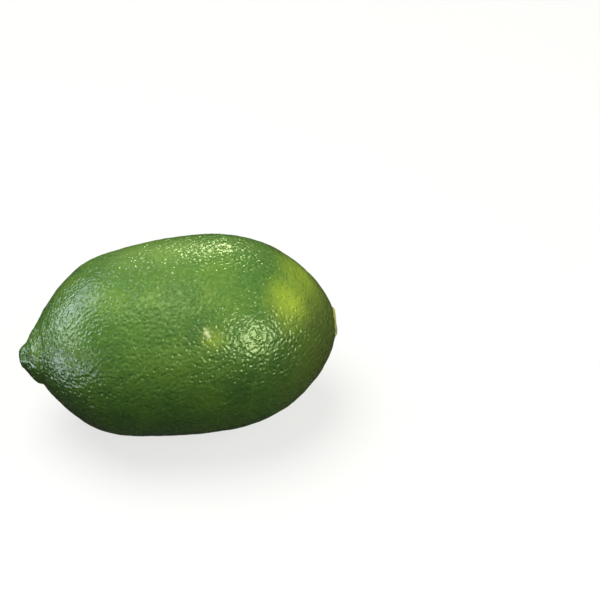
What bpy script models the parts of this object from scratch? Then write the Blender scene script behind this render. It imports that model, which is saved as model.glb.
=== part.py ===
"""A whole lime lying on its side, in metres, +Z up, resting on Z = 0.

The fruit is one solid of its own grown shape: a full body, a blunt nipple at -X and a blunt stem
end at +X with a shallow seat. The stem button is the dry calyx that stays in that seat.
The origin is under the middle of the lime's bounding box, on the surface that it rests on.
"""

import math

import bmesh
import bpy
from mathutils import Matrix, Vector

# ---- Fruit: the turned outline. Axial places run from the widest ring, towards +X for the stem.
BODY_RADIUS = 0.0230
BLOSSOM_REACH = 0.0430  # widest ring to the tip of the nipple
BLOSSOM_FULLNESS = 2.55  # power of the outline between them: 2 is round, more is fuller
SHOULDER_HEIGHT = 0.0029  # soft swelling before the body draws in to the nipple
SHOULDER_FROM_TIP = 0.0141
SHOULDER_WIDTH = 0.0111
STEM_REACH = 0.0308  # widest ring to where the outline would close at the stem end
STEM_FULLNESS = 2.20
STEM_BLUNTNESS = 1.60  # above 1 the outline meets the axis bluntly, as a flat end does

# ---- Fruit: the nipple and the furrow round it
NIPPLE_RADIUS = 0.0030  # radius of the ball that the tip follows
NIPPLE_BLEND = 0.0010  # how softly the ball flows into the body
NIPPLE_FADE = 0.0120  # from the tip to where the ball has no more share in the outline
NIPPLE_DROP = 0.0001  # the nipple sits this far below the body's axis
NIPPLE_SWING = 0.0006  # and this far towards -Y
NIPPLE_ROOT = 0.0045  # from the ball to where the body is back on its axis
FURROW_DEPTH = 0.0010
FURROW_LEAST = 0.0001  # its depth on the far side, where it runs out
FURROW_FROM_TIP = 0.0052
FURROW_WIDTH = 0.0010
FURROW_TURN = math.radians(235)  # where round the axis the furrow is deepest: low, towards -Y

# ---- Fruit: how it grew unevenly
SAG = 0.0003  # both ends bend down by this much
SAG_REACH = 0.0300  # at this distance from the widest ring
SWELL = 0.00025  # height of the soft lobes round the body
SWELL_LOBES = 3
SWELL_TURN = math.radians(40)
REST_CUT = 0.00045  # depth of the small flat spot that the fruit lies on

# ---- Stem button, and the seat that it stays in
BUTTON_RADIUS = 0.0034
BUTTON_LOBES = 5
BUTTON_LOBE_HEIGHT = 0.0003
BUTTON_THICKNESS = 0.0017
BUTTON_PROUD = 0.0008  # how far it stands out of the seat's rim
BUTTON_ROUND = 0.0005  # rounding of its outer edge
PIT_RADIUS = 0.0015  # hollow left where the stalk broke away
PIT_DEPTH = 0.0007
PIT_SLOPE = 0.0004  # its wall runs in by this much
CORE_RADIUS = 0.0005  # strand of the stalk left in the middle of the pit
CORE_HEIGHT = 0.0003
CORE_SLOPE = 0.0002  # the strand is wider at its foot by this much
SEAT_CLEARANCE = 0.0003  # between button and seat, round it and under it
SEAT_LIP = 0.0005  # width of the seat's rounded rim
SEAT_LIP_CREST = 0.0002  # how far that rim stands out past the body's end

# ---- How finely the solids are faceted
FRUIT_RINGS = 60
FRUIT_SIDES = 48
BUTTON_SIDES = 40
ROUND_STEPS = 3  # facets across the button's rounded edge
SHARP_ANGLE = math.radians(35)  # edges that turn more than this are shaded sharp
WELD = 1e-7  # points closer than this are one point


def seat_radius():
    """The seat takes the button's widest lobes and the clearance."""
    return BUTTON_RADIUS + BUTTON_LOBE_HEIGHT + SEAT_CLEARANCE


def seat_depth():
    """The seat is as deep as the sunk part of the button and the clearance under it."""
    return BUTTON_THICKNESS - BUTTON_PROUD + SEAT_CLEARANCE


def body_radius(place):
    """Radius of the plain body at an axial place."""
    if place < 0:
        share = min(1.0, -place / BLOSSOM_REACH)
        return BODY_RADIUS * (1 - share**BLOSSOM_FULLNESS)
    share = min(1.0, place / STEM_REACH)
    return BODY_RADIUS * (1 - share**STEM_FULLNESS) ** (1 / STEM_BLUNTNESS)


def stem_place(radius):
    """Axial place on the stem side where the body has this radius."""
    share = (1 - (radius / BODY_RADIUS) ** STEM_BLUNTNESS) ** (1 / STEM_FULLNESS)
    return STEM_REACH * share


def rim_place():
    """Axial place of the seat's rim, where the body is just wide enough for the seat and its lip."""
    return stem_place(seat_radius() + SEAT_LIP)


def outline_radius(place):
    """Radius of the turned outline: the body, with the ball of the nipple blended into it."""
    from_tip = place + BLOSSOM_REACH
    shoulder = bump(from_tip, SHOULDER_FROM_TIP, SHOULDER_WIDTH)
    body = body_radius(place) + SHOULDER_HEIGHT * shoulder
    if from_tip >= NIPPLE_FADE:
        return body
    height = min(from_tip, NIPPLE_RADIUS)
    ball = math.sqrt(max(0.0, height * (2 * NIPPLE_RADIUS - height)))
    blended = (ball + body + math.hypot(ball - body, NIPPLE_BLEND)) / 2
    fade = smooth(from_tip / NIPPLE_FADE)
    return blended * (1 - fade) + body * fade


def smooth(share):
    """0 to 1 with level ends."""
    share = max(0.0, min(1.0, share))
    return share * share * (3 - 2 * share)


def bump(place, middle, width):
    """A round swelling, 1 at its middle and close to 0 two widths away."""
    return math.exp(-(((place - middle) / width) ** 2))


def outline():
    """The turned outline as (place, radius), from the nipple's tip to the middle of the seat."""
    first, last = -BLOSSOM_REACH, rim_place()
    middle, half = (first + last) / 2, (last - first) / 2
    points = [(first, 0.0)]
    for ring in range(1, FRUIT_RINGS + 1):
        place = middle - half * math.cos(math.pi * ring / FRUIT_RINGS)
        points.append((place, outline_radius(place)))
    points.append((last + SEAT_LIP_CREST, seat_radius() + SEAT_LIP / 2))
    points.append((last - SEAT_LIP_CREST, seat_radius()))
    points.append((last - seat_depth(), seat_radius()))
    points.append((last - seat_depth(), 0.0))
    return points


def grown(point):
    """Moves a point of the turned shape to where uneven growth put it."""
    place, radius = point.x, math.hypot(point.y, point.z)
    turn = math.atan2(point.z, point.y)
    from_tip = place + BLOSSOM_REACH

    facing = (1 + math.cos(turn - FURROW_TURN)) / 2
    depth = FURROW_LEAST + (FURROW_DEPTH - FURROW_LEAST) * facing
    furrow = depth * bump(from_tip, FURROW_FROM_TIP, FURROW_WIDTH)
    fullness = (radius / BODY_RADIUS) ** 2
    swell = SWELL * math.cos(SWELL_LOBES * (turn - SWELL_TURN)) * fullness
    if radius > WELD:
        scale = (radius + swell - furrow) / radius
        point = Vector((place, point.y * scale, point.z * scale))

    to_nipple = 1 - smooth((from_tip - NIPPLE_RADIUS) / NIPPLE_ROOT)
    sag = SAG * smooth(abs(place) / SAG_REACH)
    return point + Vector((0, -NIPPLE_SWING * to_nipple, -NIPPLE_DROP * to_nipple - sag))


def material(name, colour, roughness):
    """A plain Principled material."""
    made = bpy.data.materials.new(name)
    made.use_nodes = True
    shader = made.node_tree.nodes["Principled BSDF"]
    shader.inputs["Base Color"].default_value = (*colour, 1.0)
    shader.inputs["Roughness"].default_value = roughness
    shader.inputs["Metallic"].default_value = 0.0
    return made


def new_object(name, shape, finish, parent):
    """An object for one piece, from its bmesh."""
    bmesh.ops.recalc_face_normals(shape, faces=shape.faces)
    mesh = bpy.data.meshes.new(name)
    shape.to_mesh(mesh)
    shape.free()
    mesh.shade_smooth()
    mesh.set_sharp_from_angle(angle=SHARP_ANGLE)
    mesh.materials.append(finish)
    made = bpy.data.objects.new(name, mesh)
    made.parent = parent
    bpy.context.scene.collection.objects.link(made)
    return made


def turned(points, axis, side, steps):
    """A closed shape from an outline of (along, out) points, spun a full turn about axis."""
    shape = bmesh.new()
    verts = [shape.verts.new(axis * along + side * out) for along, out in points]
    edges = [shape.edges.new(pair) for pair in zip(verts, verts[1:])]
    bmesh.ops.spin(
        shape,
        geom=verts + edges,
        cent=(0, 0, 0),
        axis=axis,
        angle=math.tau,
        steps=steps,
        use_merge=True,
    )
    bmesh.ops.remove_doubles(shape, verts=shape.verts, dist=WELD)
    return shape


def fruit_shape():
    """The grown fruit about its own axis, cut flat underneath, and the height of that cut."""
    shape = turned(outline(), Vector((1, 0, 0)), Vector((0, 1, 0)), FRUIT_SIDES)
    for vert in shape.verts:
        vert.co = grown(vert.co)
    base = min(vert.co.z for vert in shape.verts) + REST_CUT
    bmesh.ops.bisect_plane(
        shape,
        geom=shape.verts[:] + shape.edges[:] + shape.faces[:],
        dist=WELD,
        plane_co=(0, 0, base),
        plane_no=(0, 0, -1),
        clear_outer=True,
    )
    rim = [edge for edge in shape.edges if edge.is_boundary]
    bmesh.ops.contextual_create(shape, geom=rim)
    return shape, base


def button_shape():
    """The stem button about Z, its underside at Z = 0: a lobed disc with a pit and a strand in it."""
    top = BUTTON_THICKNESS
    points = [(0.0, 0.0), (BUTTON_RADIUS - BUTTON_ROUND / 2, 0.0), (BUTTON_RADIUS, BUTTON_ROUND / 2)]
    for step in range(ROUND_STEPS + 1):
        turn = math.tau / 4 * step / ROUND_STEPS
        out = BUTTON_RADIUS - BUTTON_ROUND * (1 - math.cos(turn))
        points.append((out, top - BUTTON_ROUND * (1 - math.sin(turn))))
    points.append((PIT_RADIUS, top))
    points.append((PIT_RADIUS - PIT_SLOPE, top - PIT_DEPTH))
    points.append((CORE_RADIUS + CORE_SLOPE, top - PIT_DEPTH))
    points.append((CORE_RADIUS, top - PIT_DEPTH + CORE_HEIGHT))
    points.append((0.0, top - PIT_DEPTH + CORE_HEIGHT))
    upright = [(height, out) for out, height in points]
    shape = turned(upright, Vector((0, 0, 1)), Vector((1, 0, 0)), BUTTON_SIDES)
    for vert in shape.verts:
        out = math.hypot(vert.co.x, vert.co.y)
        turn = math.atan2(vert.co.y, vert.co.x)
        share = smooth((out - PIT_RADIUS) / (BUTTON_RADIUS - PIT_RADIUS))
        lobe = BUTTON_LOBE_HEIGHT * math.cos(BUTTON_LOBES * turn) * share
        if out > WELD:
            vert.co.x *= (out + lobe) / out
            vert.co.y *= (out + lobe) / out
    return shape


def clear_scene():
    """Removes whatever the file started with."""
    for thing in list(bpy.data.objects):
        bpy.data.objects.remove(thing)


def main():
    clear_scene()
    lime = bpy.data.objects.new("lime", None)
    bpy.context.scene.collection.objects.link(lime)
    peel = material("green_peel", (0.11, 0.24, 0.035), 0.35)
    calyx = material("dry_calyx", (0.55, 0.50, 0.12), 0.75)

    shape, base = fruit_shape()
    low = min(vert.co.x for vert in shape.verts)
    high = max(vert.co.x for vert in shape.verts)
    near = min(vert.co.y for vert in shape.verts)
    far = max(vert.co.y for vert in shape.verts)
    fruit = new_object("lime_fruit", shape, peel, lime)

    seat_floor = grown(Vector((rim_place() - seat_depth(), 0, 0)))
    button_end = seat_floor.x + SEAT_CLEARANCE + BUTTON_THICKNESS
    to_middle = Vector((-(low + max(high, button_end)) / 2, -(near + far) / 2, -base))
    fruit.location = to_middle

    button = new_object("stem_button", button_shape(), calyx, lime)
    seated = seat_floor + Vector((SEAT_CLEARANCE, 0, 0)) + to_middle
    facing = Matrix.Rotation(math.radians(90), 4, "Y")
    button.matrix_world = Matrix.Translation(seated) @ facing


main()
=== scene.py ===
import math

import bpy
import numpy as np
from mathutils import Matrix, Vector


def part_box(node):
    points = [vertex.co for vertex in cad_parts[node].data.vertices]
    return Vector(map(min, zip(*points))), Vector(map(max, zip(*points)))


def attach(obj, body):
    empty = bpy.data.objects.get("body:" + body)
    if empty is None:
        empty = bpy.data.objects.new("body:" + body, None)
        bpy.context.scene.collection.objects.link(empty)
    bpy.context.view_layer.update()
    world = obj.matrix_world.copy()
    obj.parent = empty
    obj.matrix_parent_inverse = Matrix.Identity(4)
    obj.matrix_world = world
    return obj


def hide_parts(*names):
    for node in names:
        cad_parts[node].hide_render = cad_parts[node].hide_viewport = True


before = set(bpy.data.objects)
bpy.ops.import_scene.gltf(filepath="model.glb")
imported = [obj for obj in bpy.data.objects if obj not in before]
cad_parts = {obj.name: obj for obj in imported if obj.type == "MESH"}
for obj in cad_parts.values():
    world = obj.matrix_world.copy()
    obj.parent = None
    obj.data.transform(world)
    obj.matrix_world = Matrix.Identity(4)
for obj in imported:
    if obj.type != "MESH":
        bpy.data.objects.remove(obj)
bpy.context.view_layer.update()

scene = bpy.context.scene
fruitLow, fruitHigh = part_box("lime_fruit")
buttonLow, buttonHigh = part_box("stem_button")
print("frame loaded")


# Small tools

def linearColour(code):
    # sRGB hex to the linear colour that a shader takes
    channels = [int(code[i : i + 2], 16) / 255 for i in (0, 2, 4)]
    return [c / 12.92 if c <= 0.04045 else ((c + 0.055) / 1.055) ** 2.4 for c in channels] + [1.0]


def firstShown(sockets, name=None):
    # Of the sockets that the node's settings leave in use, the first one, or the first of this name
    return next(s for s in sockets if s.enabled and name in (None, s.name))


def addNode(tree, kind, inputs=None, **settings):
    # A node with its settings. An input's value is a number, a socket, or a node whose first output is meant
    node = tree.nodes.new(kind)
    for name, value in settings.items():
        setattr(node, name, value)
    for key, value in (inputs or {}).items():
        socket = node.inputs[key] if isinstance(key, int) else firstShown(node.inputs, key)
        if isinstance(value, bpy.types.Node):
            value = firstShown(value.outputs)
        if isinstance(value, bpy.types.NodeSocket):
            tree.links.new(value, socket)
        else:
            socket.default_value = value
    return node


def newTree(name, values):
    # An empty geometry tree with a named input for each value, and the sockets that give them
    tree = bpy.data.node_groups.new(name, "GeometryNodeTree")
    tree.is_modifier = True
    tree.interface.new_socket("Geometry", in_out="INPUT", socket_type="NodeSocketGeometry")
    for key, value in values.items():
        kind = "NodeSocketInt" if isinstance(value, int) else "NodeSocketFloat"
        tree.interface.new_socket(key, in_out="INPUT", socket_type=kind)
    tree.interface.new_socket("Geometry", in_out="OUTPUT", socket_type="NodeSocketGeometry")
    return tree, addNode(tree, "NodeGroupInput").outputs


def applyTree(piece, tree, values):
    # Runs a geometry tree on the piece and keeps the result as a plain mesh
    modifier = piece.modifiers.new(tree.name, "NODES")
    modifier.node_group = tree
    for item in tree.interface.items_tree:
        if item.item_type == "SOCKET" and item.in_out == "INPUT" and item.name in values:
            modifier[item.identifier] = values[item.name]
    graph = bpy.context.evaluated_depsgraph_get()
    result = piece.evaluated_get(graph)
    made = bpy.data.meshes.new_from_object(result, preserve_all_data_layers=True, depsgraph=graph)
    piece.modifiers.remove(modifier)
    old = piece.data
    piece.data = made
    bpy.data.meshes.remove(old)
    made.name = piece.name
    return piece


def newMaterial(name):
    material = bpy.data.materials.new(name)
    material.use_nodes = True
    return material, material.node_tree, material.node_tree.nodes["Principled BSDF"]


def meshPiece(name, points, faces):
    mesh = bpy.data.meshes.new(name)
    mesh.from_pydata(points.tolist(), [], faces)
    mesh.validate()
    mesh.shade_smooth()
    piece = bpy.data.objects.new(name, mesh)
    scene.collection.objects.link(piece)
    return piece


def smooth(values, start=0, span=1):
    # 0 up to the start and 1 from a span later, with level ends
    share = np.clip((values - start) / span, 0, 1)
    return share * share * (3 - 2 * share)


# The fruit's body. Metres; places run along X from the widest ring, towards + for the stem

fruit = {
    "bodyRadius": 0.0230,
    "blossomReach": 0.0430,  # widest ring to the nipple's tip
    "blossomFullness": 2.55,  # the higher, the fuller that end
    "shoulder": (0.0029, 0.0141, 0.0111),  # height, place from the tip, width
    "stemReach": 0.0308,
    "stemFullness": 2.20,
    "stemBluntness": 1.60,
    "nippleRadius": 0.0030,
    "nippleBlend": 0.0010,
    "nippleFade": 0.0120,
    "nippleDrop": 0.0001,  # how far uneven growth moved it down, and towards the camera's side
    "nippleSwing": 0.0006,
    "nippleRoot": 0.0045,
    "furrow": (0.0010, 0.0052, 0.0010),  # depth, place from the tip, width
    "furrowRidge": (0.15, 1.9),  # the ridge before it: share of its depth, widths towards the tip
    "furrowLeast": 0.0001,
    "furrowTurn": 235,  # degrees round X, from +Y towards +Z
    "sag": 0.0003,
    "sagReach": 0.0300,
    "swell": 0.00025,
    "swellLobes": 3,
    "swellTurn": 40,
    "restCut": 0.00045,  # depth of the flat spot that it rests on
    "seatRadius": 0.0029,  # flat bottom of the stem seat, under the button
    "seatRim": 0.0045,
    "seatDepth": 0.0012,
    "stemCreases": 11,
    "creaseHeight": 0.00010,
    "creaseWander": 2.0,
    "creaseRise": 0.6,  # seat rims from the axis where the creases start, and where they start to fade
    "creaseFade": 1.2,
    "outlineSteps": 3000,
    "seatSteps": 300,
    "gridSteps": 128,  # quads along each edge of the cube that the mesh is blown up from
}


def bodyRadiusAt(place):
    blossom = np.clip(-place / fruit["blossomReach"], 0, 1)
    stem = np.clip(place / fruit["stemReach"], 0, 1)
    toNipple = 1 - blossom ** fruit["blossomFullness"]
    toStem = (1 - stem ** fruit["stemFullness"]) ** (1 / fruit["stemBluntness"])
    return fruit["bodyRadius"] * np.where(place < 0, toNipple, toStem)


def outlineRadius(place):
    fromTip = place + fruit["blossomReach"]
    height, middle, width = fruit["shoulder"]
    body = bodyRadiusAt(place) + height * np.exp(-(((fromTip - middle) / width) ** 2))
    rise = np.minimum(fromTip, fruit["nippleRadius"])
    ball = np.sqrt(np.maximum(0, rise * (2 * fruit["nippleRadius"] - rise)))
    blended = (ball + body + np.hypot(ball - body, fruit["nippleBlend"])) / 2
    fade = smooth(fromTip, 0, fruit["nippleFade"])
    radius = blended * (1 - fade) + body * fade
    # rounds the very tip, where the blend would leave a small flat disc
    disc = blended[0] ** 2 * np.exp(-fromTip / (fruit["nippleBlend"] / 2))
    return np.sqrt(np.maximum(0, radius**2 - disc))


def outline():
    # Places and radii from the nipple's tip to the middle of the stem seat
    rimPlace = fruit["stemReach"] * (
        1 - (fruit["seatRim"] / fruit["bodyRadius"]) ** fruit["stemBluntness"]
    ) ** (1 / fruit["stemFullness"])
    turn = np.linspace(0, math.pi, fruit["outlineSteps"])
    span = rimPlace + fruit["blossomReach"]
    places = -fruit["blossomReach"] + span * (1 - np.cos(turn)) / 2
    radii = outlineRadius(places)
    seat = np.linspace(fruit["seatRim"], 0, fruit["seatSteps"])[1:]
    dip = 1 - smooth(seat, fruit["seatRadius"], fruit["seatRim"] - fruit["seatRadius"])
    places = np.concatenate([places, rimPlace - fruit["seatDepth"] * dip])
    return places, np.concatenate([radii, seat])


def blownCube(steps):
    # Directions and quads of a cube's faces, evenly spaced by angle
    index = {}
    quads = []
    for axis in range(3):
        for side in (0, steps):
            for i in range(steps):
                for j in range(steps):
                    quad = []
                    for a, b in ((i, j), (i + 1, j), (i + 1, j + 1), (i, j + 1)):
                        key = [a, b]
                        key.insert(axis, side)
                        quad.append(index.setdefault(tuple(key), len(index)))
                    outward = (side == 0) == (axis == 1)
                    quads.append(quad if outward else quad[::-1])
    corners = np.array(list(index), float)
    corners = np.tan((corners / steps * 2 - 1) * math.pi / 4)
    return corners / np.linalg.norm(corners, axis=1)[:, None], quads


def grown(places, radii, turns):
    # The turned outline, moved to where uneven growth put it
    fromTip = places + fruit["blossomReach"]
    depth, middle, width = fruit["furrow"]
    facing = (1 + np.cos(turns - math.radians(fruit["furrowTurn"]))) / 2
    furrow = fruit["furrowLeast"] + (depth - fruit["furrowLeast"]) * facing
    across = (fromTip - middle) / width
    height, before = fruit["furrowRidge"]
    furrow = furrow * (np.exp(-(across**2)) - height * np.exp(-((across + before) ** 2)))
    fullness = (radii / fruit["bodyRadius"]) ** 2
    swellTurns = turns - math.radians(fruit["swellTurn"])
    swell = fruit["swell"] * np.cos(fruit["swellLobes"] * swellTurns) * fullness
    rims = radii / fruit["seatRim"]
    creases = np.cos(fruit["stemCreases"] * turns + fruit["creaseWander"] * np.sin(2 * turns))
    creases = creases * smooth(rims, fruit["creaseRise"]) * (1 - smooth(rims, fruit["creaseFade"]))
    creases = creases * fruit["creaseHeight"] * (places > 0)
    out = radii + swell - furrow
    toNipple = 1 - smooth(fromTip, fruit["nippleRadius"], fruit["nippleRoot"])
    sag = fruit["sag"] * smooth(np.abs(places), 0, fruit["sagReach"])
    y = out * np.cos(turns) - fruit["nippleSwing"] * toNipple
    z = out * np.sin(turns) - fruit["nippleDrop"] * toNipple - sag
    return np.stack([places + creases, y, z], axis=1)


def makeBody():
    places, radii = outline()
    lengths = np.concatenate([[0], np.cumsum(np.hypot(np.diff(places), np.diff(radii)))])
    directions, quads = blownCube(fruit["gridSteps"])
    # the mesh is spread evenly along the outline's length
    share = np.arccos(np.clip(-directions[:, 0], -1, 1)) / math.pi * lengths[-1]
    turns = np.arctan2(directions[:, 2], directions[:, 1])
    points = grown(np.interp(share, lengths, places), np.interp(share, lengths, radii), turns)
    points[:, 0] += fruitLow.x - points[:, 0].min()
    points[:, 1] += (fruitLow.y + fruitHigh.y - points[:, 1].min() - points[:, 1].max()) / 2
    points[:, 2] -= points[:, 2].min() + fruit["restCut"]
    return meshPiece("lime_peel", points, quads)


# The oil glands: points spread evenly over the peel, each a small pit, and the peel's soft unevenness

glands = {
    "Spacing": 0.00086,  # least distance between two glands
    "Tries": 9.0e6,  # points tried on each square metre
    "Seed": 7,
    "Pit Radius": 0.00058,
    "Pit Depth": 0.00025,
    "Size Spread": 0.60,
    "Lump Height": 0.00036,
    "Lump Size": 0.0050,
    "Ripple Height": 0.00012,
    "Ripple Size": 0.0019,
    "Nipple Lump Height": 0.00110,
    "Nipple Lump Size": 0.0026,
    "Nipple Place": fruitLow.x,
    "Nipple Length": 0.0120,
}


def glandTree(peel):
    tree, given = newTree("Oil glands", glands)
    place = addNode(tree, "GeometryNodeInputPosition")
    normal = addNode(tree, "GeometryNodeInputNormal")

    # the peel sinks towards the nearest gland, which has a size of its own
    spread = addNode(tree, "GeometryNodeDistributePointsOnFaces", {
        "Mesh": given["Geometry"], "Distance Min": given["Spacing"],
        "Density Max": given["Tries"], "Seed": given["Seed"],
    }, distribute_method="POISSON")
    smallest = addNode(tree, "ShaderNodeMath", {0: 1.0, 1: given["Size Spread"]}, operation="SUBTRACT")
    size = addNode(tree, "FunctionNodeRandomValue", {
        "Min": smallest, "Max": 1.0, "Seed": given["Seed"],
    }, data_type="FLOAT")
    points = spread.outputs["Points"]
    nearest = addNode(tree, "GeometryNodeSampleNearest", {"Geometry": points}, domain="POINT")
    glandPlace = addNode(tree, "GeometryNodeSampleIndex", {
        "Geometry": points, "Value": place, "Index": nearest,
    }, data_type="FLOAT_VECTOR")
    glandSize = addNode(tree, "GeometryNodeSampleIndex", {
        "Geometry": points, "Value": size, "Index": nearest,
    }, data_type="FLOAT")
    apart = addNode(tree, "ShaderNodeVectorMath", {0: place, 1: glandPlace}, operation="DISTANCE")
    radius = addNode(tree, "ShaderNodeMath", {0: given["Pit Radius"], 1: glandSize}, operation="MULTIPLY")
    pit = addNode(tree, "ShaderNodeMapRange", {
        "Value": apart.outputs["Value"], "From Min": 0.0, "From Max": radius, "To Min": 1.0, "To Max": 0.0,
    }, interpolation_type="SMOOTHSTEP")
    depth = addNode(tree, "ShaderNodeMath", {0: given["Pit Depth"], 1: glandSize}, operation="MULTIPLY")
    sink = addNode(tree, "ShaderNodeMath", {0: depth, 1: pit}, operation="MULTIPLY")

    # broad lumps and fine ripples all over, and stronger lumps where the peel gathers into the nipple
    along = addNode(tree, "ShaderNodeSeparateXYZ", {0: place})
    fromNipple = addNode(tree, "ShaderNodeMath", {
        0: along.outputs["X"], 1: given["Nipple Place"],
    }, operation="SUBTRACT")
    nearNipple = addNode(tree, "ShaderNodeMapRange", {
        "Value": fromNipple, "From Min": 0.0, "From Max": given["Nipple Length"],
        "To Min": 1.0, "To Max": 0.0,
    }, interpolation_type="SMOOTHSTEP")
    rise = 0.0
    for name, detail, distortion, share in (
        ("Lump", 1.0, 0.0, 1.0), ("Nipple Lump", 2.0, 0.0, nearNipple), ("Ripple", 0.0, 0.8, 1.0),
    ):
        scale = addNode(tree, "ShaderNodeMath", {0: 1.0, 1: given[name + " Size"]}, operation="DIVIDE")
        swing = addNode(tree, "ShaderNodeTexNoise", {
            "Scale": scale, "Detail": detail, "Distortion": distortion,
        })
        swing = addNode(tree, "ShaderNodeMath", {0: swing, 1: -0.5}, operation="ADD")
        swing = addNode(tree, "ShaderNodeMath", {0: swing, 1: given[name + " Height"]}, operation="MULTIPLY")
        swing = addNode(tree, "ShaderNodeMath", {0: swing, 1: share}, operation="MULTIPLY")
        rise = addNode(tree, "ShaderNodeMath", {0: rise, 1: swing}, operation="ADD")
    rise = addNode(tree, "ShaderNodeMath", {0: rise, 1: sink}, operation="SUBTRACT")
    offset = addNode(tree, "ShaderNodeVectorMath", {0: normal, "Scale": rise}, operation="SCALE")

    stored = given["Geometry"]
    for name, value in (("glandPit", pit), ("glandSize", glandSize)):
        stored = addNode(tree, "GeometryNodeStoreNamedAttribute", {
            "Geometry": stored, "Name": name, "Value": value,
        }, data_type="FLOAT", domain="POINT")
    moved = addNode(tree, "GeometryNodeSetPosition", {"Geometry": stored, "Offset": offset})
    # the lime lies flat on the surface that it rests on
    above = addNode(tree, "ShaderNodeMath", {0: along.outputs["Z"], 1: 0.0}, operation="MAXIMUM")
    rested = addNode(tree, "ShaderNodeCombineXYZ", {
        "X": along.outputs["X"], "Y": along.outputs["Y"], "Z": above,
    })
    lying = addNode(tree, "GeometryNodeSetPosition", {"Geometry": moved, "Position": rested})
    whole = addNode(tree, "GeometryNodeRealizeInstances", {"Geometry": lying})
    finished = addNode(tree, "GeometryNodeSetMaterial", {"Geometry": whole, "Material": peel})
    addNode(tree, "NodeGroupOutput", {"Geometry": finished})
    return tree


# Waxy lime peel: a live skin full of oil glands under natural wax. The wax gives tight, bright
# glints on a soft deep green, and each gland shows as a darker dot

peelLook = {
    # two of these greens also serve as painted light in the patches below: the deep green as a painted
    # shadow, the pale green as a painted sheen
    "deepGreenAndShadow": "4C7432",
    "green": "5B8634",
    "oliveGreen": "6F8F33",
    "yellowGreen": "A4BE36",
    # painted shade: the olive that darkens the peel towards the stem end
    "stemShadeOlive": "66742F",
    "glandGreen": "305922",
    "paleGreenAndSheen": "84A852",
    # the scar's pale, brightened into a painted glint
    "scarAndGlintPale": "EEF4B4",
    "roughness": 0.20,
    "ior": 1.45,
    "mottles": (  # colour, size, noise where it starts and where it is full, most that shows, distortion
        ("green", 0.016, 0.35, 0.65, 1.00, 0.0),
        ("oliveGreen", 0.008, 0.45, 0.75, 0.45, 0.5),
        ("paleGreenAndSheen", 0.0008, 0.50, 0.75, 0.45, 0.3),
    ),
    # the painted shade at the stem end
    "stemFade": (0.016, 0.034, 0.80),  # X where the olive starts and where it is full, most that shows
    "patches": (  # colour, middle, reach, most that shows
        # painted sheen: a soft pale patch over the middle, and two along the top edge where light from
        # behind falls
        ("paleGreenAndSheen", (-0.0020, -0.0103, 0.0430), 0.0090, 0.15),
        ("paleGreenAndSheen", (0.0006, 0.0050, 0.0453), 0.0100, 0.45),
        ("paleGreenAndSheen", (-0.0090, 0.0058, 0.0440), 0.0120, 0.45),
        # painted shadow: darker green by the top edge towards the stem
        ("deepGreenAndShadow", (0.0200, -0.0005, 0.0427), 0.0125, 0.85),
        ("yellowGreen", (0.0062, -0.0183, 0.0370), 0.0050, 0.42),
        ("yellowGreen", (0.0060, -0.0186, 0.0367), 0.0020, 0.40),
        # the scar: a small pale mark, brightened into a painted glint
        ("scarAndGlintPale", (0.0048, -0.0173, 0.0382), 0.0010, 1.00),
        ("scarAndGlintPale", (0.0052, -0.0178, 0.0376), 0.0008, 0.95),
        ("scarAndGlintPale", (0.0045, -0.0165, 0.0389), 0.0005, 0.80),
        ("yellowGreen", (0.0290, 0.0000, 0.0372), 0.0100, 0.65),
        ("yellowGreen", (0.0246, -0.0098, 0.0382), 0.0088, 1.00),
    ),
    "raggedSize": 0.0035,
    "raggedness": 0.25,  # share of its reach that a patch's edge wanders
    "darkGland": 0.6,  # size of the smallest gland that shows darker
    "glandDarkness": 0.35,
    "grainSize": 0.00045,  # the wax's own grain is finer: drawn this coarse, it shows
    "grainHeight": 0.00004,
    "poreSpacing": 0.0010,
    "poreDepth": 0.00010,
    "poreEdge": (0.12, 0.55),  # pore spacings from its middle where a pore's wall starts, and where it ends
    "poreWander": (0.0015, 0.0006),  # size and reach of the noise that shifts the pores
}


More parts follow.
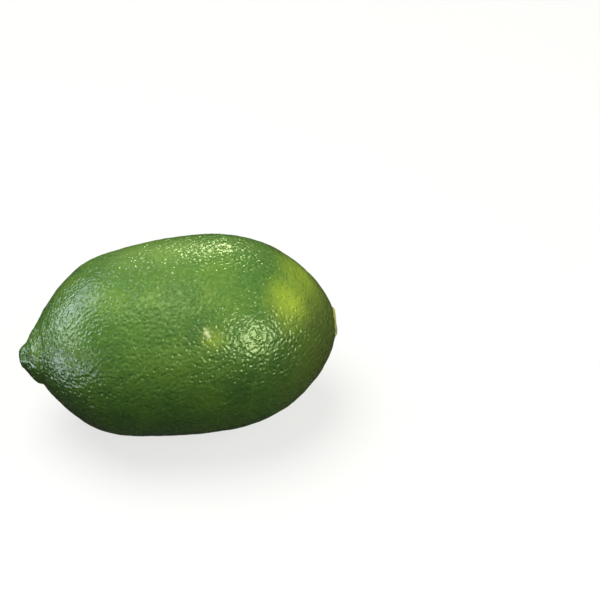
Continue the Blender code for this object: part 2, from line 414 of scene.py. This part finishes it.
def peelMaterial():
    material, tree, shader = newMaterial("waxy_lime_peel")
    where = addNode(tree, "ShaderNodeTexCoord").outputs["Object"]

    # soft stretches of plain and olive green, and fine pale specks
    mottles = []
    for colour, size, start, full, most, distortion in peelLook["mottles"]:
        noise = addNode(tree, "ShaderNodeTexNoise", {
            "Vector": where, "Scale": 1 / size, "Detail": 2.0, "Distortion": distortion,
        })
        share = addNode(tree, "ShaderNodeMapRange", {
            "Value": noise, "From Min": start, "From Max": full, "To Max": most,
        })
        mottles.append((colour, share))
    *stretches, specks = mottles

    # painted shade: the peel turns olive towards the stem end
    start, full, most = peelLook["stemFade"]
    along = addNode(tree, "ShaderNodeSeparateXYZ", {0: where})
    stemShade = addNode(tree, "ShaderNodeMapRange", {
        "Value": along.outputs["X"], "From Min": start, "From Max": full, "To Max": most,
    }, interpolation_type="SMOOTHSTEP")

    # patches with ragged edges: what ripened first, painted sheen along the top and over the middle, a
    # painted shadow by the top edge near the stem, and the scar, brightened into a painted glint
    raggedness = peelLook["raggedness"]
    noise = addNode(tree, "ShaderNodeTexNoise", {
        "Vector": where, "Scale": 1 / peelLook["raggedSize"], "Detail": 2.0,
    })
    ragged = addNode(tree, "ShaderNodeMapRange", {
        "Value": noise, "To Min": 1 - raggedness, "To Max": 1 + raggedness,
    })
    patches = []
    for colour, middle, reach, most in peelLook["patches"]:
        away = addNode(tree, "ShaderNodeVectorMath", {0: where, 1: middle}, operation="DISTANCE")
        away = addNode(tree, "ShaderNodeMath", {0: away.outputs["Value"], 1: ragged}, operation="MULTIPLY")
        share = addNode(tree, "ShaderNodeMapRange", {
            "Value": away, "From Min": 0.0, "From Max": reach, "To Min": most, "To Max": 0.0,
        }, interpolation_type="SMOOTHSTEP")
        patches.append((colour, share))

    # the larger glands are darker than the peel between them
    pit = addNode(tree, "ShaderNodeAttribute", attribute_name="glandPit").outputs["Fac"]
    size = addNode(tree, "ShaderNodeAttribute", attribute_name="glandSize").outputs["Fac"]
    dark = addNode(tree, "ShaderNodeMapRange", {
        "Value": size, "From Min": peelLook["darkGland"], "From Max": 1.0,
        "To Max": peelLook["glandDarkness"],
    })
    dark = addNode(tree, "ShaderNodeMath", {0: dark, 1: pit}, operation="MULTIPLY")

    ground = linearColour(peelLook["deepGreenAndShadow"])
    for colour, share in (*stretches, ("stemShadeOlive", stemShade), *patches, ("glandGreen", dark), specks):
        ground = addNode(tree, "ShaderNodeMix", {
            "Factor": share, "A": ground, "B": linearColour(peelLook[colour]),
        }, data_type="RGBA")

    # the wax's grain, and pores between the glands, both too fine for the mesh
    grain = addNode(tree, "ShaderNodeTexNoise", {
        "Vector": where, "Scale": 1 / peelLook["grainSize"], "Detail": 2.0,
    })
    wanderSize, wanderReach = peelLook["poreWander"]
    wander = addNode(tree, "ShaderNodeTexNoise", {"Vector": where, "Scale": 1 / wanderSize, "Detail": 1.0})
    wander = addNode(tree, "ShaderNodeVectorMath", {
        0: wander.outputs["Color"], "Scale": wanderReach,
    }, operation="SCALE")
    wander = addNode(tree, "ShaderNodeVectorMath", {0: where, 1: wander}, operation="ADD")
    pores = addNode(tree, "ShaderNodeTexVoronoi", {
        "Vector": wander, "Scale": 1 / peelLook["poreSpacing"], "Randomness": 1.0,
    }, feature="F1")
    low, high = peelLook["poreEdge"]
    pores = addNode(tree, "ShaderNodeMapRange", {
        "Value": pores.outputs["Distance"], "From Min": low, "From Max": high,
    }, interpolation_type="SMOOTHSTEP")
    bump = addNode(tree, "ShaderNodeBump", {
        "Height": grain, "Strength": 1.0, "Distance": peelLook["grainHeight"],
    })
    bump = addNode(tree, "ShaderNodeBump", {
        "Height": pores, "Strength": 1.0, "Distance": peelLook["poreDepth"], "Normal": bump,
    })
    tree.links.new(firstShown(ground.outputs), shader.inputs["Base Color"])
    tree.links.new(bump.outputs["Normal"], shader.inputs["Normal"])
    shader.inputs["Roughness"].default_value = peelLook["roughness"]
    shader.inputs["IOR"].default_value = peelLook["ior"]
    return material


limePeel = applyTree(makeBody(), glandTree(peelMaterial()), glands)
print("peel made:", len(limePeel.data.polygons), "faces")
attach(limePeel, "root")
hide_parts("lime_fruit")


# The stem button, made about +X with its underside at 0 and then seated in the CAD button's box

button = {
    "profile": (  # height and radius, from the middle of the underside to the middle of the strand
        (0.00, 0.00), (0.00, 2.60), (0.15, 3.30), (0.80, 3.42), (1.25, 3.36), (1.62, 2.98), (1.72, 2.50),
        (1.68, 2.04), (1.42, 1.68), (1.04, 1.50), (0.90, 1.10), (0.94, 0.72), (1.24, 0.50), (1.38, 0.28),
        (1.40, 0.00),
    ),
    "profileUnit": 0.001,
    "profileRounds": 4,
    "rings": 110,
    "sides": 280,
    "topRise": (0.0006, 0.0006),  # height where the top's own shapes start, and how far up they are full
    "lobes": 5,
    "lobeHeight": 0.00017,
    "unevenness": 0.00024,
    "hollowRadius": 0.0016,
    "hollowEdge": 0.50,  # width of its edge and radius of its floor, as shares of its radius
    "hollowFloor": 0.55,
    "hollowStretch": 0.20,  # the hollow is this much longer one way than it is round
    "hollowTurn": 70,
    "hollowUnevenness": 0.10,
    "ribs": 34,
    "ribHeight": 0.00004,
    "ribDrift": 3.5,  # how far the ribs wander from even spacing
    "ribSlant": 900,  # radians that the ribs turn in each metre outward
    "ribFading": 0.4,
    "lipHeight": 0.00014,
    "strandRadius": 0.0004,
    "strandStretch": 0.32,
    "strandCorners": 0.4,
    "strandTurn": 140,
    "strandTilt": 0.35,
    "strandLean": 0.00016,
    "strandRise": (0.0009, 0.0004),  # the same for the strand's lean, and next for its pale colour
    "strandPaleFrom": (0.0010, 0.0003),
    "strandPaleEdge": 0.0005,  # how far the pale colour fades out past the strand's radius
    "frayTurn": 215,  # where the edge is torn into fibres
    "frayDepth": 0.00016,
    "frayNarrowness": 3,
    "frayRim": (0.0029, 0.0003),  # radius where the fibres start, and how far out they are full
    "frayFoot": (0.0005, 0.0004),  # the same for their height
    # the foot's olive is painted shade where the button meets the peel
    "footFade": (0.0004, 0.0010),  # height where the foot's olive starts to fade, and how far up it is gone
    "seed": 11,
}


def rounded(points, rounds):
    # Cuts the corners of an open line, keeping its ends
    for _ in range(rounds):
        near, far = points[:-1], points[1:]
        cut = np.stack([near * 0.75 + far * 0.25, near * 0.25 + far * 0.75], axis=1).reshape(-1, 2)
        points = np.concatenate([points[:1], cut[1:-1], points[-1:]])
    return points


def waves(turns, counts, chance):
    # A closed uneven line round the button, about -1 to 1, from waves that fit round it this many times
    total = sum(np.cos(count * turns + chance.uniform(0, math.tau)) / count**0.5 for count in counts)
    return total / np.abs(total).max()


def ringFaces(rings, sides):
    # Quads between the rings, and a fan at each end to a point that comes after all the rings
    faces = []
    for side in range(sides):
        after = (side + 1) % sides
        faces.append((rings * sides, after, side))
        faces.append((rings * sides + 1, (rings - 1) * sides + side, (rings - 1) * sides + after))
        for ring in range(rings - 1):
            low, high = ring * sides, (ring + 1) * sides
            faces.append((low + side, low + after, high + after, high + side))
    return faces


def makeButton():
    chance = np.random.default_rng(button["seed"])
    line = rounded(np.array(button["profile"]) * button["profileUnit"], button["profileRounds"])
    lengths = np.concatenate([[0], np.cumsum(np.hypot(*np.diff(line, axis=0).T))])
    along = np.linspace(0, lengths[-1], button["rings"] + 2)
    heights = np.interp(along, lengths, line[:, 0])[1:-1, None]
    radii = np.interp(along, lengths, line[:, 1])[1:-1, None]
    turns = (np.arange(button["sides"]) / button["sides"] * math.tau)[None, :]
    hollow = button["hollowRadius"]
    edge = hollow * button["hollowEdge"]
    floor = hollow * button["hollowFloor"]
    top = smooth(heights, *button["topRise"])

    # the rim's lobes and torn stretch, and the hollow's uneven outline
    outward = smooth(radii, hollow, line[:, 1].max() - hollow)
    lobes = button["lobeHeight"] * np.cos(button["lobes"] * turns)
    lobes = lobes + button["unevenness"] * waves(turns, range(2, 14), chance)
    torn = ((1 + np.cos(turns - math.radians(button["frayTurn"]))) / 2) ** button["frayNarrowness"]
    fray = button["frayDepth"] * torn * waves(turns, range(17, 47, 5), chance)
    stretch = button["hollowStretch"] * np.cos(2 * (turns - math.radians(button["hollowTurn"])))
    stretch = stretch + button["hollowUnevenness"] * waves(turns, range(3, 9), chance)
    atHollow = np.exp(-(((radii - hollow) / edge) ** 2))
    out = radii + (lobes + fray) * outward + radii * stretch * atHollow

    # the ring's wandering ribs and its uneven lip
    onRing = smooth(radii, hollow, edge) * top
    drift = button["ribDrift"] * waves(turns, range(3, 17), chance)
    ribs = np.cos(button["ribs"] * turns + drift + button["ribSlant"] * radii)
    fading = button["ribFading"]
    ribs = ribs * (1 - fading + fading * waves(turns, range(5, 12), chance))
    lip = waves(turns, range(2, 7), chance) * onRing
    up = heights + button["lipHeight"] * lip + button["ribHeight"] * ribs * onRing * (1 - atHollow / 2)

    # the strand that stands in the hollow: longer one way, with its broken end tilted
    inHollow = (1 - smooth(radii, floor, floor)) * top
    atStrand = 1 - smooth(radii, button["strandRadius"], button["strandRadius"])
    strandTurns = turns - math.radians(button["strandTurn"])
    corners = np.cos(2 * strandTurns) + button["strandCorners"] * np.cos(3 * turns)
    out = out + radii * atStrand * button["strandStretch"] * corners
    up = up + button["strandTilt"] * radii * atStrand * top * np.cos(strandTurns)
    leaning = button["strandLean"] * inHollow * smooth(heights, *button["strandRise"])
    grid = np.stack([up, out * np.cos(turns) + leaning, out * np.sin(turns)], axis=2)
    ends = [(line[0, 0], 0, 0), (line[-1, 0], button["strandLean"], 0)]
    points = np.concatenate([grid.reshape(-1, 3), ends])

    middle = (buttonLow + buttonHigh) / 2
    centre = np.array((buttonLow.x, middle.y, middle.z))
    piece = meshPiece("stem_button_dried", points + centre, ringFaces(button["rings"], button["sides"]))
    strand = smooth(heights, *button["strandPaleFrom"])
    strand = strand * (1 - smooth(radii, button["strandRadius"], button["strandPaleEdge"]))
    shades = {
        # painted shade in the hollow, round the strand
        "hollow": inHollow * (1 - strand),
        "strand": strand,
        "rib": ribs * onRing / 2 + 0.5,
        # painted shade round the foot, where the button meets the peel
        "foot": 1 - smooth(heights, *button["footFade"]),
        "fray": torn * smooth(radii, *button["frayRim"]) * smooth(heights, *button["frayFoot"]),
    }
    for name, values in shades.items():
        values = np.broadcast_to(values, up.shape)
        flat = np.concatenate([values.reshape(-1), [values[0, 0], values[-1, 0]]]).astype(np.float32)
        piece.data.attributes.new(name, "FLOAT", "POINT").data.foreach_set("value", flat)
    return piece, Vector(centre)


# The torn edge of the button: short tapering fibres that lie outward over the peel

fibres = {
    "Crowd": 6.0e6,  # fibres on each square metre of torn edge
    "Seed": 5,
    "Length": 0.00070,
    "Thickness": 0.000075,
    "Tip Thickness": 0.00001,
    "Least Scale": 0.45,
    "Outward": 0.8,  # 0 stands the fibres straight off the button, 1 turns them wholly outward
    "Scatter": 0.45,
    "Paleness": 0.7,
}


def fibreTree(calyx, centre):
    tree, given = newTree("Torn fibres", fibres)
    fray = addNode(tree, "GeometryNodeInputNamedAttribute", {"Name": "fray"}, data_type="FLOAT")
    crowd = addNode(tree, "ShaderNodeMath", {0: fray, 1: given["Crowd"]}, operation="MULTIPLY")
    roots = addNode(tree, "GeometryNodeDistributePointsOnFaces", {
        "Mesh": given["Geometry"], "Density": crowd, "Seed": given["Seed"],
    }, distribute_method="RANDOM")

    # each fibre heads between its face's normal and straight away from the button's axis, and strays
    place = addNode(tree, "GeometryNodeInputPosition")
    away = addNode(tree, "ShaderNodeVectorMath", {0: place, 1: tuple(centre)}, operation="SUBTRACT")
    away = addNode(tree, "ShaderNodeVectorMath", {0: away, 1: (0.0, 1.0, 1.0)}, operation="MULTIPLY")
    away = addNode(tree, "ShaderNodeVectorMath", {0: away}, operation="NORMALIZE")
    heading = addNode(tree, "ShaderNodeMix", {
        "Factor": given["Outward"], "A": roots.outputs["Normal"], "B": away,
    }, data_type="VECTOR")
    stray = addNode(tree, "FunctionNodeRandomValue", {
        "Min": (-1.0, -1.0, -1.0), "Max": (1.0, 1.0, 1.0), "Seed": given["Seed"],
    }, data_type="FLOAT_VECTOR")
    stray = addNode(tree, "ShaderNodeVectorMath", {0: stray, "Scale": given["Scatter"]}, operation="SCALE")
    heading = addNode(tree, "ShaderNodeVectorMath", {0: heading, 1: stray}, operation="ADD")
    facing = addNode(tree, "FunctionNodeAlignRotationToVector", {"Vector": heading}, axis="Z")

    fibre = addNode(tree, "GeometryNodeMeshCone", {
        "Vertices": 7, "Side Segments": 3, "Fill Segments": 1, "Radius Top": given["Tip Thickness"],
        "Radius Bottom": given["Thickness"], "Depth": given["Length"],
    })
    fibre = addNode(tree, "GeometryNodeStoreNamedAttribute", {
        "Geometry": fibre, "Name": "strand", "Value": given["Paleness"],
    }, data_type="FLOAT", domain="POINT")
    scale = addNode(tree, "FunctionNodeRandomValue", {
        "Min": given["Least Scale"], "Max": 1.0, "Seed": given["Seed"],
    }, data_type="FLOAT")
    standing = addNode(tree, "GeometryNodeInstanceOnPoints", {
        "Points": roots.outputs["Points"], "Instance": fibre, "Rotation": facing, "Scale": scale,
    })
    joined = addNode(tree, "GeometryNodeJoinGeometry")
    tree.links.new(given["Geometry"], joined.inputs["Geometry"])
    tree.links.new(standing.outputs["Instances"], joined.inputs["Geometry"])
    whole = addNode(tree, "GeometryNodeRealizeInstances", {"Geometry": joined})
    finished = addNode(tree, "GeometryNodeSetMaterial", {"Geometry": whole, "Material": calyx})
    addNode(tree, "NodeGroupOutput", {"Geometry": finished})
    return tree


# Dry stem calyx: the scar where the stalk broke away. Matt and yellow, with paler fibres along its
# ribs, a hollow darkened with painted shade, painted shade round its foot and a pale strand of the stalk's
# core

calyxLook = {
    "yellow": "B4AE3C",
    "paleYellow": "D6D66E",
    # painted shade: the olive round the foot, where the button meets the peel, and the brown in the hollow
    "footShadeOlive": "5A5A1C",
    "hollowShadeBrown": "4E4710",
    "strandPale": "E4E094",
    "tornPale": "CFCB96",
    "roughness": 0.62,
    "mottleSize": 0.0009,
    "paleRibs": (0.12, 0.42),  # rib times mottle where the paler yellow starts, and where it is full
    "grainSize": 0.00025,
    "grainHeight": 0.00004,
    "grainStrength": 0.8,
}


def calyxMaterial():
    material, tree, shader = newMaterial("dry_stem_calyx")
    where = addNode(tree, "ShaderNodeTexCoord").outputs["Object"]
    mottle = addNode(tree, "ShaderNodeTexNoise", {
        "Vector": where, "Scale": 1 / calyxLook["mottleSize"], "Detail": 3.0,
    })
    rib = addNode(tree, "ShaderNodeAttribute", attribute_name="rib").outputs["Fac"]
    pale = addNode(tree, "ShaderNodeMath", {0: rib, 1: mottle}, operation="MULTIPLY")
    start, full = calyxLook["paleRibs"]
    pale = addNode(tree, "ShaderNodeMapRange", {"Value": pale, "From Min": start, "From Max": full})
    layers = [("paleYellow", pale)]
    for colour, name in (
        ("footShadeOlive", "foot"), ("hollowShadeBrown", "hollow"), ("tornPale", "fray"), ("strandPale", "strand"),
    ):
        layers.append((colour, addNode(tree, "ShaderNodeAttribute", attribute_name=name).outputs["Fac"]))
    ground = linearColour(calyxLook["yellow"])
    for colour, share in layers:
        ground = addNode(tree, "ShaderNodeMix", {
            "Factor": share, "A": ground, "B": linearColour(calyxLook[colour]),
        }, data_type="RGBA")
    grain = addNode(tree, "ShaderNodeTexNoise", {
        "Vector": where, "Scale": 1 / calyxLook["grainSize"], "Detail": 2.0,
    })
    bump = addNode(tree, "ShaderNodeBump", {
        "Height": grain, "Strength": calyxLook["grainStrength"], "Distance": calyxLook["grainHeight"],
    })
    tree.links.new(firstShown(ground.outputs), shader.inputs["Base Color"])
    tree.links.new(bump.outputs["Normal"], shader.inputs["Normal"])
    shader.inputs["Roughness"].default_value = calyxLook["roughness"]
    return material


stemButton, buttonCentre = makeButton()
applyTree(stemButton, fibreTree(calyxMaterial(), buttonCentre), fibres)
print("stem button made:", len(stemButton.data.polygons), "faces")
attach(stemButton, "root")
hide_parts("stem_button")


# Floor, light and camera

stage = {
    "floorSize": 6.0,
    "floorGap": 0.0001,  # keeps the floor and the lime's flat spot from sharing one plane
    "floorGrey": "8E8E8C",
    "floorRoughness": 0.9,
    "floorSpecular": 0.1,
    "glowGrey": "F2F2F0",
    "floorGlow": 0.80,  # the floor is a light table, so that the shadow stays soft
    "worldGlow": 0.137,
    "lowGlow": 0.06,
    "glowRise": 0.5,  # how far up from level the world reaches its full glow, where straight up is 1
    "lensMm": 100,
    "clipStart": 0.01,
    "azimuth": -9.8,
    "elevation": 40,
    "distance": 0.3851,
    "aimHeight": 0.023,
    "aimAside": 0.0280,  # the lime stands left of the middle of the view
    "aimAbove": 0.0085,
}

softBoxes = {
    # where it stands as seen from the lime, distance, width, height, watts, colour, what it lights
    "leftWindow": ((-0.92, 0.30, 0.26), 0.55, 0.42, 0.24, 1.5, "E6F0FF", "shine"),
    "leftBox": ((-0.68, 0.45, 0.57), 0.55, 0.40, 0.36, 1.7, "E6F0FF", "shine"),
    "leftLowBox": ((-0.95, -0.02, -0.23), 0.55, 0.30, 0.15, 1.0, "E6F0FF", "shine"),
    "leftFrontBox": ((-0.87, -0.48, 0.02), 0.55, 0.20, 0.15, 0.5, "E6F0FF", "shine"),
    "backBox": ((0.22, 0.87, 0.45), 0.60, 0.13, 0.09, 1.0, "F6FFC0", "shine"),
    "backStrip": ((-0.02, 0.94, 0.34), 0.60, 0.55, 0.10, 0.05, "FFF0C0", "shine"),
    "rightBox": ((0.57, -0.69, 0.44), 0.55, 0.32, 0.28, 3.3, "F2FFC4", "shine"),
    "overheadGlow": ((-0.15, -0.08, 0.98), 0.60, 0.26, 0.16, 0.62, "E8FF98", "shine"),
    "overheadBox": ((-0.20, 0.11, 0.97), 0.60, 0.55, 0.50, 3.95, "FFFFFF", "shade"),
    "frontFill": ((0.15, -0.78, 0.60), 0.60, 0.50, 0.50, 1.0, "FFFFFF", "shade"),
    "stemFill": ((0.93, -0.05, 0.35), 0.60, 0.40, 0.40, 0.8, "FFFFFF", "shade"),
}


def addSoftBox(name, towards, distance, width, height, watts, colour, lights):
    light = bpy.data.lights.new(name, "AREA")
    light.shape = "ELLIPSE"
    light.size = width
    light.size_y = height
    light.energy = watts
    light.color = linearColour(colour)[:3]
    box = bpy.data.objects.new(name, light)
    direction = Vector(towards).normalized()
    box.location = Vector((0, 0, stage["aimHeight"])) + direction * distance
    box.rotation_euler = direction.to_track_quat("Z", "Y").to_euler()
    box.visible_diffuse = lights == "shade"
    box.visible_glossy = lights == "shine"
    scene.collection.objects.link(box)


def addFloor():
    # Matt white paper, which gives a plain pale ground with no gloss
    half = stage["floorSize"] / 2
    low = -stage["floorGap"]
    corners = np.array([(-half, -half, low), (half, -half, low), (half, half, low), (-half, half, low)])
    floor = meshPiece("floor", corners, [(0, 1, 2, 3)])
    material, _, shader = newMaterial("matte_paper_floor")
    shader.inputs["Base Color"].default_value = linearColour(stage["floorGrey"])
    shader.inputs["Roughness"].default_value = stage["floorRoughness"]
    shader.inputs["Specular IOR Level"].default_value = stage["floorSpecular"]
    shader.inputs["Emission Color"].default_value = linearColour(stage["glowGrey"])
    shader.inputs["Emission Strength"].default_value = stage["floorGlow"]
    floor.data.materials.append(material)
    floor.visible_glossy = False
    floor.visible_diffuse = False


def addCamera():
    azimuth, elevation = math.radians(stage["azimuth"]), math.radians(stage["elevation"])
    level = math.cos(elevation)
    back = Vector((math.sin(azimuth) * level, -math.cos(azimuth) * level, math.sin(elevation)))
    right = Vector((math.cos(azimuth), math.sin(azimuth), 0))
    up = back.cross(right)
    data = bpy.data.cameras.new("camera")
    data.lens = stage["lensMm"]
    data.clip_start = stage["clipStart"]
    camera = bpy.data.objects.new("camera", data)
    aim = Vector((0, 0, stage["aimHeight"])) + right * stage["aimAside"] + up * stage["aimAbove"]
    turned = Matrix((right, up, back)).transposed().to_4x4()
    camera.matrix_world = Matrix.Translation(aim + back * stage["distance"]) @ turned
    scene.collection.objects.link(camera)
    scene.camera = camera


def addWorld():
    # Dim grey above the table and dimmer below it; the camera sees it as pale as the floor
    world = bpy.data.worlds.new("studio")
    world.use_nodes = True
    tree = world.node_tree
    around = addNode(tree, "ShaderNodeTexCoord").outputs["Generated"]
    height = addNode(tree, "ShaderNodeSeparateXYZ", {0: around}).outputs["Z"]
    dim = addNode(tree, "ShaderNodeMapRange", {
        "Value": height, "From Min": 0.0, "From Max": stage["glowRise"],
        "To Min": stage["lowGlow"], "To Max": stage["worldGlow"],
    })
    seen = addNode(tree, "ShaderNodeLightPath").outputs["Is Camera Ray"]
    strength = addNode(tree, "ShaderNodeMix", {
        "Factor": seen, "A": dim, "B": stage["floorGlow"],
    }, data_type="FLOAT")
    background = tree.nodes["Background"]
    tree.links.new(firstShown(strength.outputs), background.inputs["Strength"])
    background.inputs["Color"].default_value = linearColour(stage["glowGrey"])
    scene.world = world


addWorld()
addFloor()
for name, values in softBoxes.items():
    addSoftBox(name, *values)
addCamera()
scene.view_settings.view_transform = "Standard"
print("stage set")
